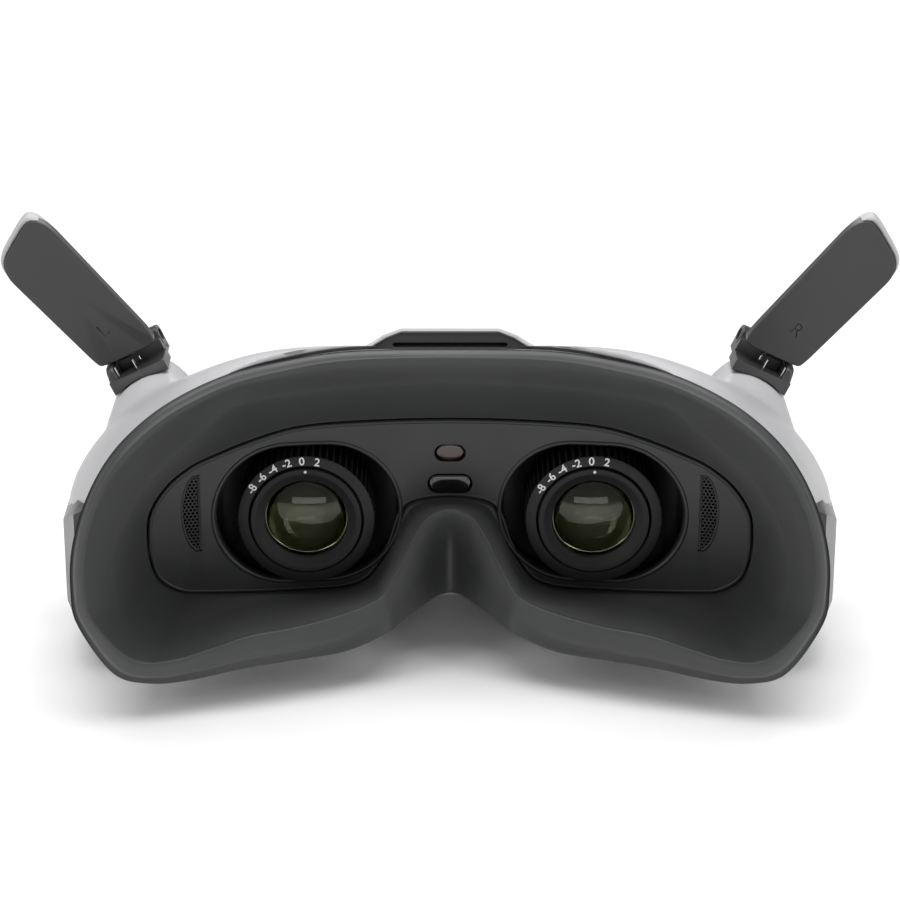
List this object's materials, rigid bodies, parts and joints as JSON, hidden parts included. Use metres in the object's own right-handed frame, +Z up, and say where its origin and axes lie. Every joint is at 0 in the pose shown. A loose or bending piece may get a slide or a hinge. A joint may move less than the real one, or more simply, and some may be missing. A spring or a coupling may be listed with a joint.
{
  "type": "fpv goggles",
  "caption": "Head-worn video goggles with a soft wrap-round face pad, two sliding lenses with diopter rings and focus wheels, and fold-out antennas.",
  "frame": {"origin": "on the resting plane, below the middle of the bounding box", "axes": "+X towards the wearer's right, -Y towards the wearer's face, +Y to the front visor, +Z up; the lens axes run along Y"},
  "size_m": [0.1966, 0.104, 0.0946],
  "materials": {
    "light_shell": "satin moulded, warm light grey",
    "face_pad": "soft-touch skin over foam",
    "dark_plastic": "fine-textured",
    "face_plate": "satin, very fine grain",
    "visor_gloss": "polished",
    "black_plastic": "matte",
    "lens_ring": "fine-textured",
    "lens_glass": "coated optical, polished",
    "sensor_glass": "polished",
    "amber_window": "infrared-passing, polished",
    "steel": "ground",
    "aluminium": "extruded",
    "board": "solder mask"
  },
  "bodies": {
    "housing": {"front_shell": "light_shell", "face_pad": "face_pad", "pad_frame": "dark_plastic", "vent_panel": "dark_plastic", "bottom_cover": "dark_plastic", "left_temple_plate": "dark_plastic", "right_temple_plate": "dark_plastic", "left_rod_bracket": "dark_plastic", "right_rod_bracket": "dark_plastic", "left_antenna_collar": "dark_plastic", "right_antenna_collar": "dark_plastic", "face_plate": "face_plate", "left_grille": "face_plate", "right_grille": "face_plate", "front_visor": "visor_gloss", "fan_housing": "black_plastic", "usb_socket": "black_plastic", "audio_socket": "black_plastic", "card_slot": "black_plastic", "power_socket": "black_plastic", "left_front_camera": "lens_glass", "right_front_camera": "lens_glass", "sensor_window": "sensor_glass", "proximity_window": "amber_window", "lower_guide_rod": "steel", "upper_guide_rod": "steel", "left_strap_bar": "steel", "right_strap_bar": "steel", "left_antenna_pin": "steel", "right_antenna_pin": "steel", "cover_screw_1": "steel", "cover_screw_2": "steel", "cover_screw_3": "steel", "cover_screw_4": "steel", "heat_sink": "aluminium", "main_board": "board"},
    "fan": {"fan_rotor": "black_plastic"},
    "left_antenna": {"left_antenna_body": "light_shell", "left_antenna_cover": "dark_plastic"},
    "left_carriage": {"left_lens_carriage": "black_plastic", "left_display": "black_plastic"},
    "left_ring": {"left_diopter_ring": "lens_ring"},
    "left_barrel": {"left_lens_barrel": "lens_ring", "left_eye_lens": "lens_glass"},
    "left_wheel": {"left_focus_wheel": "dark_plastic"},
    "right_antenna": {"right_antenna_body": "light_shell", "right_antenna_cover": "dark_plastic"},
    "right_carriage": {"right_lens_carriage": "black_plastic", "right_display": "black_plastic"},
    "right_ring": {"right_diopter_ring": "lens_ring"},
    "right_barrel": {"right_lens_barrel": "lens_ring", "right_eye_lens": "lens_glass"},
    "right_wheel": {"right_focus_wheel": "dark_plastic"},
    "link_key": {"link_button": "dark_plastic"},
    "power_key": {"power_button": "dark_plastic"}
  },
  "joints": [
    {"name": "fan_spin", "type": "hinge", "parent": "housing", "child": "fan", "pos_m": [0, 0.03895, 0.026], "axis": [0, 1, 0], "continuous": true},
    {"name": "left_antenna_fold", "type": "hinge", "parent": "housing", "child": "left_antenna", "pos_m": [-0.0703, 0.01755, 0.0622], "axis": [-0.9033, 0, -0.4289], "range_deg": [0, 172]},
    {"name": "left_eye_slide", "type": "slide", "parent": "housing", "child": "left_carriage", "axis": [1, 0, 0], "range_m": [-0.004, 0.004]},
    {"name": "left_focus", "type": "hinge", "parent": "left_carriage", "child": "left_wheel", "pos_m": [-0.0313, 0.00805, 0.01206], "axis": [0, 1, 0], "range_deg": [-142.48, 35.62]},
    {"name": "left_ring_turn", "type": "hinge", "parent": "left_carriage", "child": "left_ring", "pos_m": [-0.0313, -0.00195, 0.0325], "axis": [0, 1, 0], "range_deg": [-14.25, 56.99]},
    {"name": "left_barrel_slide", "type": "slide", "parent": "left_carriage", "child": "left_barrel", "axis": [0, 1, 0], "range_m": [-0.001, 0.004]},
    {"name": "right_antenna_fold", "type": "hinge", "parent": "housing", "child": "right_antenna", "pos_m": [0.0703, 0.01755, 0.0622], "axis": [-0.9033, 0, 0.4289], "range_deg": [0, 172]},
    {"name": "right_eye_slide", "type": "slide", "parent": "housing", "child": "right_carriage", "axis": [1, 0, 0], "range_m": [-0.004, 0.004]},
    {"name": "right_focus", "type": "hinge", "parent": "right_carriage", "child": "right_wheel", "pos_m": [0.0313, 0.00805, 0.01206], "axis": [0, 1, 0], "range_deg": [-142.48, 35.62]},
    {"name": "right_ring_turn", "type": "hinge", "parent": "right_carriage", "child": "right_ring", "pos_m": [0.0313, -0.00195, 0.0325], "axis": [0, 1, 0], "range_deg": [-14.25, 56.99]},
    {"name": "right_barrel_slide", "type": "slide", "parent": "right_carriage", "child": "right_barrel", "axis": [0, 1, 0], "range_m": [-0.001, 0.004]},
    {"name": "link_press", "type": "slide", "parent": "housing", "child": "link_key", "axis": [0, 0, -1], "range_m": [0, 0.0008], "stiffness_N_per_m": 400, "springref_m": -0.0008},
    {"name": "power_press", "type": "slide", "parent": "housing", "child": "power_key", "axis": [0, 0, -1], "range_m": [0, 0.0008], "stiffness_N_per_m": 400, "springref_m": -0.0008}
  ],
  "couplings": [
    {"joint": "left_ring_turn", "follows": "left_barrel_slide", "rad_per_m": 239.11},
    {"joint": "left_focus", "follows": "left_barrel_slide", "rad_per_m": -597.78},
    {"joint": "right_ring_turn", "follows": "right_barrel_slide", "rad_per_m": 239.11},
    {"joint": "right_focus", "follows": "right_barrel_slide", "rad_per_m": -597.78}
  ]
}
